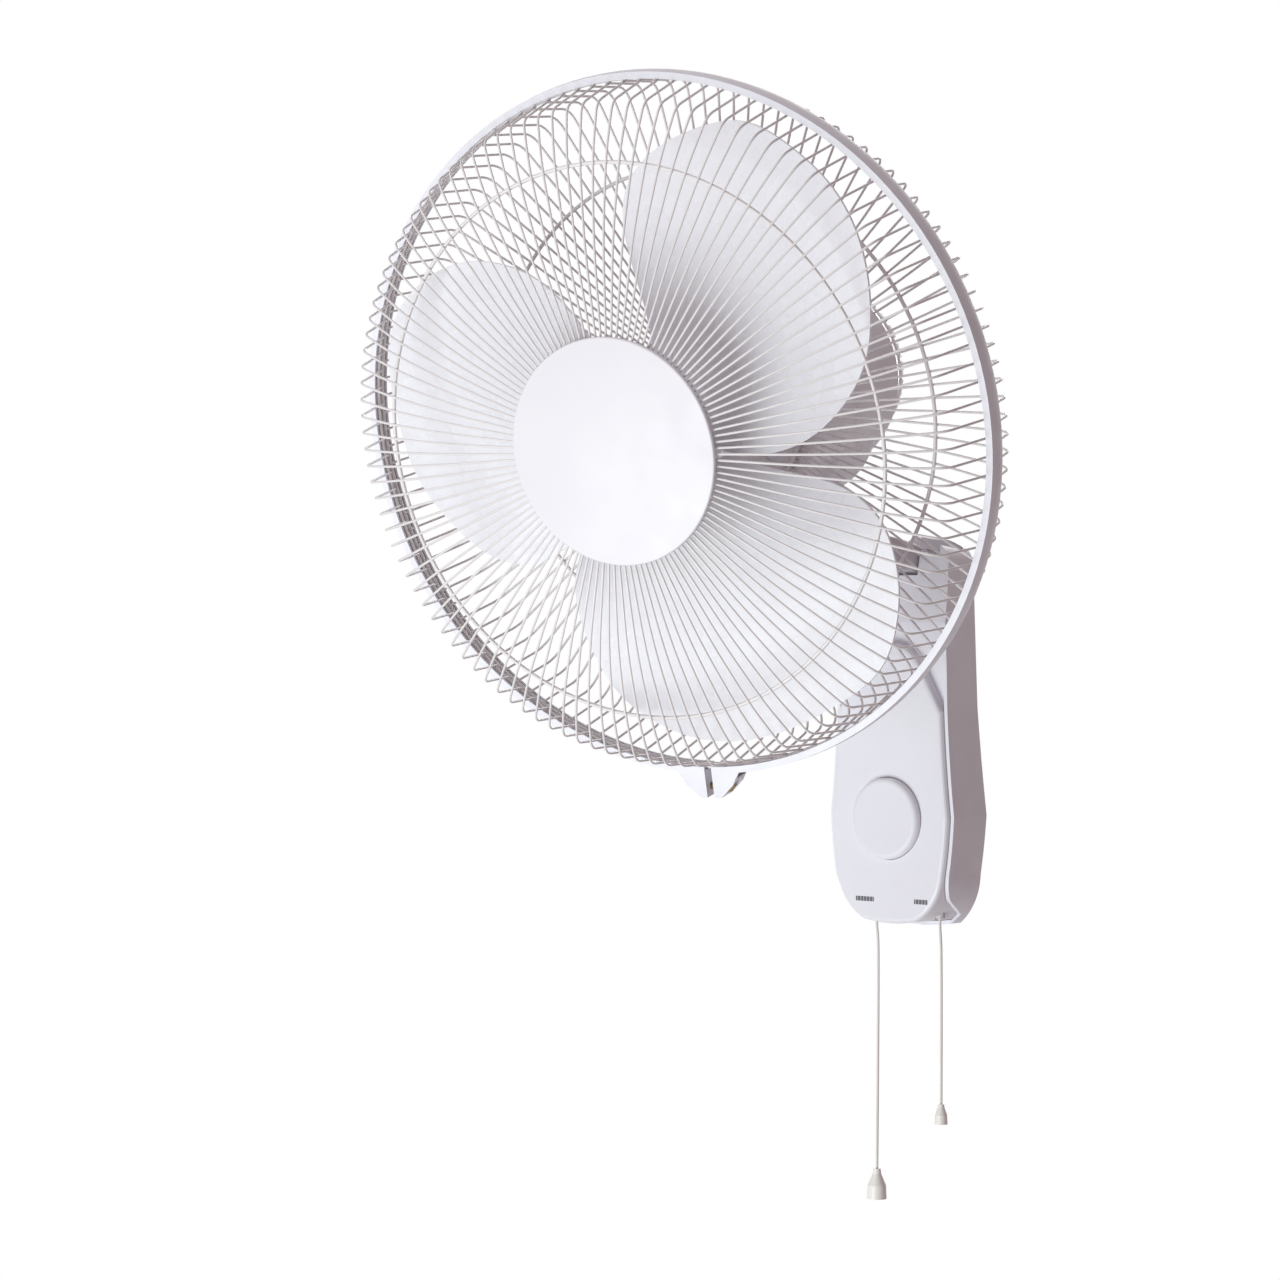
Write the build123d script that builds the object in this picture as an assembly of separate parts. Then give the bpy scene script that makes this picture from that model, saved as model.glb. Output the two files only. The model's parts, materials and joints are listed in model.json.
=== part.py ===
from build123d import *
import math
import os

# Wall mounted fan. Millimetres, Z up, -Y out of the wall, +X to the right when the fan is faced.
# The origin is the centre of the wall plate's screw pattern, on the wall.

# ---- overall sizes -------------------------------------------------------------------------
hoop_radius = 219.0          # outside of the guard hoop, a 400 mm fan
hoop_width = 14.0            # along the fan axis
column_half_width = 52.3     # widest, at the front rim
column_bottom = -133.0
column_top = 132.0
column_depth = 50.0          # wall to the middle of the front cover
pan_to_hoop = 148.0          # swivel axis to the middle of the hoop

# ---- pose of the head as built -------------------------------------------------------------
tilt_rest = 14.6             # degrees down
pan_rest = 10.8              # degrees to the right
pan_centre = Vector(0, -161.5, 227.5)
tilt_axis_y = -22.0
tilt_axis_z = 112.0

# ---- fits ----------------------------------------------------------------------------------
running = 0.05               # radial play of a turning or sliding fit
seat = 0.3                   # gap between pieces that sit against each other
weld = 0.3                   # depth that a welded wire sinks into the next

# ---- guard ---------------------------------------------------------------------------------
rib_count = 120
rib_radius = 0.75
ring_radius = 1.2
rim_radius = 1.5
hoop_web = 2.4
hoop_flange = 1.6
rim_offset = 2.1             # rim wire centre, from the middle of the hoop
front_ring_r = 170.0
rear_ring_r = 155.0
badge_radius = 69.5
badge_wall = 2.2
hub_plate_radius = 62.0
hub_plate_thickness = 1.2
ear_angle = -93.0            # where the hoop is clamped, from the fan's right
ear_length = 22.0
ear_height = 15.0
ear_gap = 5.0
hoop_screw_radius = 2.0

# ---- blade ---------------------------------------------------------------------------------
blade_count = 3
blade_thickness = 2.2
blade_camber = 6.0
hub_radius = 34.0
hub_wall = 3.0
hub_back = -6.0
hub_front = 38.0
shaft_radius = 4.0
pin_radius = 1.5
spinner_radius = 24.0

# ---- motor ---------------------------------------------------------------------------------
motor_front = -66.0
motor_split = -124.0
motor_back = -228.0
motor_radius = 66.0
motor_wall = 2.2
stator_radius = 44.0
stator_length = 24.0
stator_middle = -100.0
rotor_radius = 24.5
air_gap = 0.5
shield_radius = 50.0
bearing_radius = 8.0
bearing_length = 9.0
bolt_circle = 47.15
bolt_radius = 1.9
chin_radius = 54.0
chin_drop = 24.0
chin_back = -176.0
vent_count = 28

# ---- swing drive ---------------------------------------------------------------------------
crank_distance = 16.0        # swivel axis to the crank's axis
crank_throw = 11.2
crank_pin_radius = 2.0
crank_ratio = 2.571
lever_top = -54.0
lever_thickness = 4.5
pan_pin_radius = 5.0
boss_radius = 11.0
boss_bottom = -80.0
collar_radius = 20.0
swing_motor_radius = 21.0
swing_motor_top = -24.0
swing_motor_height = 18.0

# ---- neck and column -----------------------------------------------------------------------
neck_half_width = 12.5
knuckle_radius = 11.0
tilt_bolt_radius = 4.0
cheek = 5.0
wall = 2.4
ridge_back = 8.0             # how far the housing's front lies behind the cover's
ridge_height = 4.0
ridge_width = 2.6
seam = 0.5                   # groove between the ridge and the cover
mouth_height = 121.0         # front edge of the opening that the neck enters
lean = 10.5                  # slope of the housing's front above the cover
plate_recess = 5.0
plate_thickness = 3.0
plate_half_width = 30.0
plate_half_height = 60.0
wall_hole_radius = 2.75
wall_hole_x = 40.0
wall_hole_z = 90.0
disc_radius = 27.6
disc_proud = 5.5             # how far the disc stands out of the cover
disc_round = 3.5             # rounding of the disc's front edge
disc_gap = 0.4               # play of the disc in its seat
disc_sink = 4.0              # depth of the disc's seat
disc_z = -59.0

# ---- pull cords ----------------------------------------------------------------------------
cord_radius = 0.9
cord_x = 27.0
cord_y = -28.0
switch_bottom = -100.0
bush_radius = 3.5

head = Location(pan_centre, (tilt_rest, 0, pan_rest)) * Location((0, -pan_to_hoop, 0), (90, 0, 0))
neck = Location(pan_centre, (tilt_rest, 0, 0))
swivel = Location(pan_centre, (tilt_rest, 0, pan_rest))


def save(name, pieces):
    """Write one node. Pieces that lie together are stored as separate solids."""
    shape = Compound(children=pieces) if isinstance(pieces, list) else pieces
    export_step(shape, f"parts/{name}.step")


def turned(points, axis_plane=Plane.XZ, axis=Axis.Z):
    """A solid turned about the axis from its half section, given as radius and height."""
    return revolve(axis_plane * make_face(Polyline(*points, close=True)), axis)


def tube(outer, inner, low, high):
    """A plain sleeve on the Z axis."""
    return turned([(inner, low), (outer, low), (outer, high), (inner, high)])


def rod(radius, low, high):
    """A plain round bar on the Z axis."""
    return Pos(0, 0, low) * Cylinder(radius, high - low, align=(Align.CENTER, Align.CENTER, Align.MIN))


def block(x0, x1, y0, y1, z0, z1):
    """A box from its lowest to its highest corner."""
    return Pos(x0, y0, z0) * Box(x1 - x0, y1 - y0, z1 - z0, align=(Align.MIN, Align.MIN, Align.MIN))


def ring(radius, height, wire):
    """A wire ring round the Z axis."""
    return Pos(0, 0, height) * Torus(radius, wire)


def screw(length, shank, head_radius, head_height):
    """A pan head screw, its head above z = 0 and its shank below."""
    top = fillet(rod(head_radius, 0, head_height).edges().group_by(Axis.Z)[-1], head_height * 0.4)
    slot = block(-head_radius, head_radius, -shank * 0.2, shank * 0.2, head_height * 0.5, head_height)
    return top + rod(shank, -length, 0.01) - slot


def hexagon_nut(across, bore, height):
    """A plain nut standing on z = 0."""
    body = extrude(RegularPolygon(across / 2, 6, major_radius=False), height)
    return body - rod(bore, -1, height + 1)


# ---- wire guards and hoop, in the fan's frame: Z forward along the fan axis ------------------
rim_r = hoop_radius - hoop_web - seat - rim_radius
rib_end_r = rim_r - rim_radius - rib_radius + weld
front_profile = [(60, 69), (125, 62.5), (175, 51), (204.5, 38.5), (rib_end_r, rim_offset)]
front_bends = [300, 180, 12]
rear_profile = [(56, -62.6), (110, -58.5), (165, -50.5), (208, -42), (rib_end_r, -rim_offset)]
rear_bends = [300, 180, 11]
rib_inside = rib_radius + ring_radius - weld


def height_at(profile, radius):
    """Height of the straight-sided profile at a radius."""
    for (r0, z0), (r1, z1) in zip(profile, profile[1:]):
        if r0 <= radius <= r1:
            return z0 + (z1 - z0) * (radius - r0) / (r1 - r0)
    return profile[-1][1]


def guard_ribs(profile, bends, half_step):
    """One bent rib, copied round the axis as separate wires."""
    path = Plane.XZ * FilletPolyline(*profile, radius=bends)
    start = Plane(origin=path @ 0, z_dir=path % 0)
    one = sweep(start * Circle(rib_radius), path=path)
    step = 360.0 / rib_count
    return [Rot(0, 0, (i + half_step) * step) * one for i in range(rib_count)]


def guard_rings(profile, mid_ring_r, hub_ring_r, rim_height, inward):
    """The rim, the mid ring and the hub ring, inside the ribs."""
    mid = ring(mid_ring_r, height_at(profile, mid_ring_r) + inward, ring_radius)
    hub = ring(hub_ring_r, height_at(profile, hub_ring_r) + inward, ring_radius)
    return [ring(rim_r, rim_height, rim_radius), mid, hub]


front_hub_ring_r = 63.0
front_hub_ring_z = height_at(front_profile, front_hub_ring_r) - rib_inside
badge_back = front_profile[0][1] + rib_radius + seat
badge_edge = badge_back + badge_wall
backplate_front = front_hub_ring_z - ring_radius - seat
backplate_wall = 1.5
post_circle = 40.0
post_radius = 3.5
post_angles = (30, 150, 270)
post_back = backplate_front + seat
small_screw = 1.25


def build_badge():
    """The round front plate, with three posts that take the backplate's screws."""
    dome = 2.0
    section = Plane.XZ * make_face([
        Line((0, badge_edge - badge_wall + dome), (0, badge_edge + dome)),
        ThreePointArc((0, badge_edge + dome), (badge_radius * 0.5, badge_edge + dome * 0.75),
                      (badge_radius, badge_edge)),
        Line((badge_radius, badge_edge), (badge_radius, badge_back)),
        Line((badge_radius, badge_back), (badge_radius - 3, badge_back)),
        ThreePointArc((badge_radius - 3, badge_back), (badge_radius * 0.5, badge_back + dome * 0.72),
                      (0, badge_edge - badge_wall + dome))])
    plate = revolve(section, Axis.Z)
    rim = plate.edges().filter_by(GeomType.CIRCLE).sort_by(Axis.Z)
    rim = [e for e in rim if abs(e.radius - badge_radius) < 0.01 and e.center().Z > badge_back + 0.5]
    plate = fillet(rim, badge_wall * 0.45)
    post = Pos(post_circle, 0, 0) * tube(post_radius, small_screw, post_back, badge_edge)
    posts = [Rot(0, 0, a) * post for a in post_angles]
    return plate + posts


def build_backplate():
    """The plate that clamps the front ribs to the badge from behind."""
    outer = front_hub_ring_r + 3
    low = backplate_front - backplate_wall
    plate = tube(outer, 12, low, backplate_front)
    ring_inside = front_hub_ring_r - ring_radius
    rim = tube(ring_inside - 0.6, ring_inside - 2.4, backplate_front - 0.1, backplate_front + 1.6)
    hole = Pos(post_circle, 0, 0) * rod(small_screw + 0.3, low - 1, backplate_front + 1)
    holes = [Rot(0, 0, a) * hole for a in post_angles]
    return plate + rim - holes


def build_badge_screws():
    turned_round = Pos(0, 0, backplate_front - backplate_wall - 0.05) * Rot(180, 0, 0)
    one = turned_round * screw(5.5, small_screw - running, 2.6, 1.6)
    return [Rot(0, 0, a) * Pos(post_circle, 0, 0) * one for a in post_angles]


screw_seat = ear_gap / 2 + 7.2


def build_hoop():
    """The plastic channel that holds both rims, split at its clamp ears."""
    inner = hoop_radius - hoop_web
    lip = rib_end_r + rib_radius + 0.4
    half = hoop_width / 2
    crown = 0.8
    section = Plane.XZ * make_face([
        Line((inner, half - hoop_flange), (lip, half - hoop_flange)),
        Line((lip, half - hoop_flange), (lip, half)),
        Line((lip, half), (hoop_radius - crown, half)),
        ThreePointArc((hoop_radius - crown, half), (hoop_radius, 0), (hoop_radius - crown, -half)),
        Line((hoop_radius - crown, -half), (lip, -half)),
        Line((lip, -half), (lip, -half + hoop_flange)),
        Line((lip, -half + hoop_flange), (inner, -half + hoop_flange)),
        Line((inner, -half + hoop_flange), (inner, half - hoop_flange))])
    body = revolve(section, Axis.Z)
    side = Plane.XY * make_face(Polyline(
        (ear_gap / 2, -inner - 1), (ear_length, -inner - 0.2),
        (ear_length * 0.75, -hoop_radius - ear_height * 0.45),
        (ear_gap / 2 + 5, -hoop_radius - ear_height), (ear_gap / 2, -hoop_radius - ear_height), close=True))
    ear = Pos(0, 0, -half) * extrude(side, hoop_width)
    ear = ear - Pos(0, 0, -half + hoop_flange) * extrude(make_face(Polyline(
        (ear_gap / 2 + 3, -inner + 3), (ear_length + 5, -inner + 3), (ear_length + 5, -inner - 4.4),
        (ear_gap / 2 + 3, -hoop_radius - 2.4), close=True)), hoop_width - 2 * hoop_flange)
    ears = ear + mirror(ear, Plane.YZ)
    inside = rod(inner, -half - 1, half + 1) - rod(lip, -half - 2, half + 2)
    keep_channel = inside & block(-ear_length * 1.2, ear_length * 1.2, -hoop_radius, -lip * 0.9,
                                  -half + hoop_flange, half - hoop_flange)
    cut = block(-ear_gap / 2, ear_gap / 2, -hoop_radius - ear_height - 1, -lip + 4, -half - 1, half + 1)
    across = Pos(0, -hoop_radius - ear_height + 6, 0) * Rot(0, 90, 0)
    hole = across * rod(hoop_screw_radius + 0.2, -ear_length, ear_length)
    ears = ears - keep_channel - rod(lip, -half - 1, half + 1)
    sink = across * rod(5.2, screw_seat, ear_length + 5)
    sinks = [sink, mirror(sink, Plane.YZ)]
    return Rot(0, 0, ear_angle + 90) * (body + ears - cut - hole - sinks)


def build_hoop_screw():
    place = Rot(0, 0, ear_angle + 90) * Pos(screw_seat, -hoop_radius - ear_height + 6, 0) * Rot(0, 90, 0)
    return place * screw(screw_seat * 2 + 4, hoop_screw_radius, 3.8, 2.6)


def build_hoop_nut():
    place = Rot(0, 0, ear_angle + 90) * Pos(-screw_seat, -hoop_radius - ear_height + 6, 0) * Rot(0, -90, 0)
    return place * hexagon_nut(7.0, hoop_screw_radius + running, 3.2)


# ---- motor and its mounting, in the fan's frame ----------------------------------------------
hub_plate_front = rear_profile[0][1] - rib_radius + 0.15
hub_plate_back = hub_plate_front - hub_plate_thickness
front_boss_radius = 20.0
nut_height = 9.0


def build_hub_plate():
    """The pressed disc that the rear ribs are welded to."""
    plate = tube(hub_plate_radius, front_boss_radius + 0.3, hub_plate_back, hub_plate_front)
    slot = Pos(44, 0, 0) * rod(5, hub_plate_back - 1, hub_plate_front + 1)
    slots = [Rot(0, 0, a) * slot for a in range(45, 360, 90)]
    return plate - slots


def build_grille_nut():
    """The plastic ring nut that holds the rear guard against the motor."""
    body = tube(32, front_boss_radius + running, hub_plate_front, hub_plate_front + nut_height)
    body = chamfer(body.edges().group_by(Axis.Z)[-1], 1.2)
    grips = [Rot(0, 0, a) * Pos(33.2, 0, 0) * rod(3, hub_plate_front + 2, hub_plate_front + nut_height + 1)
             for a in range(0, 360, 30)]
    return body - grips


bearing_front = -71.5
bearing_back = -132.0
shield_wall = 3.0
stator_low = stator_middle - stator_length / 2
stator_high = stator_middle + stator_length / 2
front_shield_back = -79.0
rear_shield_front = -122.0
cover_face = hub_plate_back - 0.05


def build_front_shield():
    """The cast front end of the motor, with the boss that the rear guard sits on."""
    disc = tube(shield_radius, shaft_radius + 1, front_shield_back, front_shield_back + shield_wall)
    hood = tube(bearing_radius + 4, shaft_radius + 1, front_shield_back, cover_face - motor_wall)
    boss_front = hub_plate_front + nut_height + 1
    boss = tube(front_boss_radius, shaft_radius + 1, cover_face - motor_wall - 3, boss_front)
    half_bearing = bearing_length / 2
    pocket = rod(bearing_radius + 0.02, bearing_front - half_bearing, bearing_front + half_bearing)
    open_end = rod(bearing_radius + 0.02, front_shield_back - 1, bearing_front)
    lip = tube(shield_radius, stator_radius + seat, stator_high - 3, front_shield_back)
    hole = Pos(bolt_circle, 0, 0) * rod(bolt_radius + 0.2, stator_high - 4, front_shield_back + 5)
    holes = [Rot(0, 0, a) * hole for a in range(45, 360, 90)]
    return disc + hood + boss + lip - pocket - open_end - holes


def build_rear_shield():
    """The cast rear end of the motor."""
    disc = tube(shield_radius, shaft_radius + 1, rear_shield_front - shield_wall, rear_shield_front)
    hood_back = bearing_back - bearing_length / 2 - 2
    hood = tube(bearing_radius + 4, shaft_radius + 1, hood_back, rear_shield_front)
    pocket = rod(bearing_radius + 0.02, bearing_back - bearing_length / 2, rear_shield_front + 1)
    lip = tube(shield_radius, stator_radius + seat, rear_shield_front, stator_low + 3)
    hole = Pos(bolt_circle, 0, 0) * rod(bolt_radius + 0.2, rear_shield_front - 5, stator_low + 4)
    holes = [Rot(0, 0, a) * hole for a in range(45, 360, 90)]
    return disc + hood + lip - pocket - holes


def build_bolts():
    """Four long bolts through both shields, with their nuts in front."""
    length = front_shield_back + shield_wall - rear_shield_front + shield_wall
    back = rear_shield_front - shield_wall
    one = Pos(0, 0, back) * Rot(180, 0, 0) * screw(length + 4.5, bolt_radius, 3.6, 2.4)
    nut = Pos(0, 0, front_shield_back + shield_wall) * hexagon_nut(7.0, bolt_radius - 0.2, 3.0)
    return [Rot(0, 0, a) * Pos(bolt_circle, 0, 0) * (one + nut) for a in range(45, 360, 90)]


slot_count = 16


def build_stator():
    """The lamination stack with its winding slots."""
    core = tube(stator_radius, rotor_radius + air_gap, stator_low, stator_high)
    slot = block(rotor_radius + 3.5, stator_radius - 5, -2.6, 2.6, stator_low - 1, stator_high + 1)
    mouth = block(rotor_radius, rotor_radius + 4, -0.9, 0.9, stator_low - 1, stator_high + 1)
    slots = [Rot(0, 0, i * 360 / slot_count) * (slot + mouth) for i in range(slot_count)]
    return core - slots


def build_windings():
    """The coil ends, one bundle on each face of the stack."""
    bundles = []
    for low, high in ((stator_high + seat, stator_high + 8), (stator_low - 8, stator_low - seat)):
        bundle = tube(stator_radius - 5.5, rotor_radius + 4.5, low, high)
        bundles.append(fillet(bundle.edges(), 2.4))
    return bundles


def build_rotor():
    """The squirrel cage, pressed on the shaft."""
    core = tube(rotor_radius, shaft_radius, stator_low - 1, stator_high + 1)
    fins = [Rot(0, 0, a) * block(14, 21, -1, 1, stator_high, stator_high + 5) for a in range(0, 360, 45)]
    return core + fins


shaft_front = 46.0
shaft_rear = bearing_back - bearing_length / 2 - 2 - 8
pin_height = -1.5


def build_shaft():
    """The motor shaft, drilled for its drive pin and stepped for the spinner's thread."""
    bar = chamfer(rod(shaft_radius, shaft_rear, shaft_front).edges().group_by(Axis.Z)[-1], 0.8)
    return bar - Pos(0, 0, pin_height) * Rot(90, 0, 0) * rod(pin_radius, -10, 10)


def build_drive_pin():
    return Pos(0, 0, pin_height) * Rot(90, 0, 0) * rod(pin_radius, -9, 9)


def build_bearings():
    sleeves = []
    for middle in (bearing_front, bearing_back):
        sleeve = tube(bearing_radius, shaft_radius + running, -bearing_length / 2, bearing_length / 2)
        sleeve = Pos(0, 0, middle) * sleeve
        rims = [e for e in sleeve.edges().filter_by(GeomType.CIRCLE) if e.radius > bearing_radius - 0.1]
        sleeves.append(chamfer(rims, 0.6))
    return sleeves


# The cover's ends sit against the hub plate in front and close over the rear of the motor.
cover_round = 30.0
rear_cap_radius = 60.0
shoulder_run = 44.0          # from the motor's rear end to where its casing begins to narrow


def motor_outline(inset):
    """The half section of the motor's casing, smaller all round by inset."""
    front = cover_face - inset
    back = motor_back + inset
    r = motor_radius - inset
    bend = cover_round - inset
    cap = rear_cap_radius - inset
    step = motor_back + shoulder_run
    corner = 10 * (1 - math.sqrt(0.5))
    shoulder = bend * (1 - math.sqrt(0.5))
    return Plane.XZ * make_face([
        Line((0, front), (r - 10, front)),
        ThreePointArc((r - 10, front), (r - corner, front - corner), (r, front - 10)),
        Line((r, front - 10), (r, step)),
        Line((r, step), (cap, back + bend)),
        ThreePointArc((cap, back + bend), (cap - shoulder, back + shoulder), (cap - bend, back)),
        Line((cap - bend, back), (0, back)),
        Line((0, back), (0, front))])


def chin_solid(inset):
    """The bulge below the motor that houses the swivel."""
    shape = Pos(0, -chin_drop, 0) * rod(chin_radius - inset, chin_back + inset, motor_split + 14 - inset)
    return fillet(shape.edges(), 10 - inset)


def casing(inset):
    return revolve(motor_outline(inset), Axis.Z) + chin_solid(inset)


def build_covers():
    """The front and rear shells, split behind the stator."""
    hollow = casing(0) - casing(motor_wall)
    front_half = hollow & block(-200, 200, -200, 200, motor_split + seat / 2, 0)
    rear_half = hollow & block(-200, 200, -200, 200, -400, motor_split - seat / 2)
    front_half = front_half - rod(front_boss_radius + 0.3, motor_front - 10, 0)
    swivel_hole = rod(collar_radius + 2, chin_radius, chin_radius + 60)
    swivel_hole = Pos(0, 0, -pan_to_hoop) * Rot(90, 0, 0) * swivel_hole
    rear_half = rear_half - swivel_hole
    slot = block(34, rear_cap_radius + 12, -2.1, 2.1, motor_back - 1, motor_back + 26)
    slots = [Rot(0, 0, i * 360 / vent_count) * slot for i in range(vent_count)]
    rear_half = rear_half - slots
    for i in (-2, -1, 0, 1, 2):
        half_length = 16 - abs(i) * 2
        rear_half = rear_half - block(-half_length, half_length, i * 7 - 1.6, i * 7 + 1.6,
                                      motor_back - 1, motor_back + 4)
    post_end = rear_shield_front - shield_wall - seat
    posts = []
    for side in (-1, 1):
        post = Pos(side * 30, 26, 0) * tube(4, small_screw, motor_back + 0.5, post_end)
        posts.append(post & casing(0.5))
    holes = [Pos(side * 30, 26, 0) * rod(small_screw + 0.3, motor_back - 1, motor_back + 4) for side in (-1, 1)]
    rear_half = rear_half + posts - holes
    return front_half, rear_half


def build_cover_screws():
    screws = []
    for side in (-1, 1):
        one = Rot(180, 0, 0) * screw(14, small_screw - running, 2.8, 1.8)
        screws.append(Pos(side * 30, 26, motor_back - 0.02) * one)
    return screws


# ---- swivel, in its own frame: Z up along the swivel axis, -Y forward --------------------------
shield_face = -(pan_to_hoop + rear_shield_front - shield_wall)


def build_bracket():
    """The casting that hangs the motor on the swivel pin."""
    plate = block(-22, 22, shield_face + seat, shield_face + seat + 5, -70, 30)
    clear = Rot(90, 0, 0) * rod(bearing_radius + 6, -40, 60)
    plate = plate - clear
    feet = block(-40, 40, shield_face + seat, shield_face + seat + 5, 22, 30)
    boss = tube(boss_radius, pan_pin_radius + running, boss_bottom, lever_top - lever_thickness - 1.2)
    web = block(-14, 14, shield_face + seat, -pan_pin_radius - 2, boss_bottom + 7, boss_bottom + 16)
    shelf = block(-9, 9, shield_face + seat, 2, swing_motor_top + 1, swing_motor_top + 5)
    tray = Pos(0, crank_distance, 0) * rod(swing_motor_radius, swing_motor_top, swing_motor_top + 3)
    tray = tray - Rot(90, 0, 0) * rod(bearing_radius + 6, -60, 60)
    body = plate + boss + web + shelf + tray
    return body - rod(pan_pin_radius + running, boss_bottom - 1, lever_top)


def build_swing_motor():
    """The slow motor of the swing, with its output shaft downward."""
    low = swing_motor_top - swing_motor_height
    can = fillet(rod(swing_motor_radius, low, swing_motor_top - 0.05).edges(), 1.5)
    shaft = rod(3, low - 9, low + 1)
    lug_end = swing_motor_radius + 2.5
    lug = block(-4, 4, -lug_end, lug_end, swing_motor_top - 1.2, swing_motor_top - 0.05)
    return Pos(0, crank_distance, 0) * (can + shaft + lug)


def build_crank():
    """The crank and its pin, which works in the slotted lever."""
    low = swing_motor_top - swing_motor_height
    top = low - 3
    arm = extrude(SlotCenterToCenter(crank_throw, 11), 4)
    arm = Pos(0, crank_throw / 2, top - 4) * Rot(0, 0, 90) * arm
    hub = rod(5.5, top - 5.2, top)
    pin = Pos(0, crank_throw, 0) * rod(crank_pin_radius, lever_top - lever_thickness - 0.6, top - 2)
    body = arm + hub + pin - rod(3 + running, top - 10, top + 1)
    turn = -(crank_ratio * pan_rest)
    return Pos(0, crank_distance, 0) * Rot(0, 0, turn) * body


# ---- neck, in the swivel's frame before it pans ------------------------------------------------
slot_half = crank_pin_radius + 0.75
slot_near = 15.0
slot_far = 30.5
socket_top = boss_bottom - seat
socket_bottom = -106.0


def build_lever():
    """The slotted lever that the crank works against, fixed to the swivel pin."""
    low = lever_top - lever_thickness
    tongue = block(-6.5, 6.5, 0, slot_far - 2, low, lever_top)
    tip = Pos(0, slot_far - 2, 0) * rod(6.5, low, lever_top)
    eye = rod(9.5, low, lever_top)
    middle = (slot_near + slot_far) / 2
    run = slot_far - slot_near - 2 * slot_half
    slot = Rot(0, 0, 90) * extrude(SlotCenterToCenter(run, 2 * slot_half), lever_thickness + 2)
    slot = Pos(0, middle, low - 1) * slot
    flat = block(-pan_pin_radius, pan_pin_radius, -pan_pin_radius - 1, -3.6, low - 1, lever_top + 1)
    bore = rod(pan_pin_radius + running, low - 1, lever_top + 1) - flat
    return tongue + tip + eye - slot - bore


def build_pan_pin():
    """The fixed pin on which the head swings, flattened where the lever grips it."""
    low = lever_top - lever_thickness
    bar = rod(pan_pin_radius, socket_bottom + 6, lever_top + 2)
    flat = block(-pan_pin_radius, pan_pin_radius, -pan_pin_radius - 1, -3.55, low - 0.3, lever_top + 3)
    groove = tube(pan_pin_radius + 1, pan_pin_radius - 0.8, lever_top + 0.3, lever_top + 1.2)
    return bar - flat - groove


def build_pin_clip():
    return tube(pan_pin_radius + 2.5, pan_pin_radius - 0.75, lever_top + 0.35, lever_top + 1.15) - block(
        -2.5, 2.5, 0, 20, lever_top, lever_top + 2)


def neck_profile():
    """Side view of the neck arm, as Y and Z of the fan as built."""
    hinge_top = (tilt_axis_y, tilt_axis_z + knuckle_radius)
    hinge_low = (tilt_axis_y, tilt_axis_z - 5.5)
    upper = ThreePointArc(hinge_top, (-50, 129.5), (-76, 132))
    upper_end = TangentArc((-76, 132), (-127, 152), tangent=upper % 1)
    lower = ThreePointArc(hinge_low, (-50, 108.4), (-76, 110.8))
    lower_end = TangentArc((-76, 110.8), (-120, 128), tangent=lower % 1)
    closing = [Line((-127, 152), (-120, 128)), Line(hinge_top, hinge_low)]
    return make_face([upper, upper_end, lower, lower_end] + closing)


def build_neck():
    """The arm between the column and the head."""
    arm = extrude(Plane.YZ * neck_profile(), neck_half_width, both=True)
    at_hinge = Pos(0, tilt_axis_y, tilt_axis_z) * Rot(0, 90, 0)
    knuckle = at_hinge * rod(knuckle_radius, -neck_half_width, neck_half_width)
    socket = neck * rod(collar_radius + 3, socket_bottom, socket_top - 3)
    collar = neck * rod(collar_radius, socket_top - 6, socket_top)
    arcs = arm.edges().filter_by(GeomType.CIRCLE)
    long_edges = [e for e in arcs if abs(e.center().X) > neck_half_width - 0.01]
    body = fillet(long_edges, 3.0) + knuckle + socket + collar
    bore = neck * rod(pan_pin_radius + 0.02, socket_bottom + 6, socket_top + 1)
    pivot = at_hinge * rod(tilt_bolt_radius + running, -20, 20)
    return body - bore - pivot


# ---- column ------------------------------------------------------------------------------------
housing_back = -2.0
housing_front = -(column_depth - ridge_back)
cheek_gap = neck_half_width + seat
slope_foot = 73.0            # where the front begins to slope back
arch_top = 60.0
arch_shoulder = (25.9, 44.5)
arch_foot = (100.0, -85.5)
cover_inset = ridge_width + seam
opening_inset = cover_inset + 3.0

# Height, then half width at the front rim and at the back, as shares of the column's half width.
column_side = [(-97, 0.918, 0.801), (-77, 0.970, 0.857), (-57, 1.0, 0.895), (-25, 0.940, 0.824),
               (15, 0.893, 0.751), (60, 0.872, 0.718), (111, 0.822, 0.685)]


def column_face(inset, depth):
    """Outline of the column, smaller all round by inset; depth is 0 at the front rim and 1 at the back."""
    low = column_bottom + inset
    top = column_top - inset
    side = [(column_half_width * (f + (r - f) * depth) - inset, z) for z, f, r in column_side]
    side[0] = (side[0][0], side[0][1] + inset * 0.3)
    sole = (22 + 3 * depth, low + 2.1)
    bend = (39.5 - 3.2 * depth - inset * 0.7, -117.5 + inset * 0.7)
    shoulder = (side[-1][0] - 11.5, top - 5.5)
    right = [
        ThreePointArc((0, low), (sole[0] / 2, low + 0.6), sole),
        ThreePointArc(sole, bend, side[0]),
        ThreePointArc(*side[0:3]),
        ThreePointArc(*side[2:5]),
        ThreePointArc(*side[4:7]),
        ThreePointArc(side[-1], (side[-1][0] - 3, top - 11.5), shoulder),
        ThreePointArc(shoulder, (shoulder[0] * 0.5, top - 1.4), (0, top))]
    left = [mirror(piece, Plane.YZ) for piece in right]
    return make_face(right + left)


def column_depth_share(y):
    return (y - housing_front) / (housing_back - housing_front)


def column_loft(steps):
    """The column through several outlines, each given as inset, share of the depth and place."""
    return loft([Plane.XZ.offset(-y) * column_face(inset, depth) for inset, depth, y in steps], ruled=True)


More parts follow.
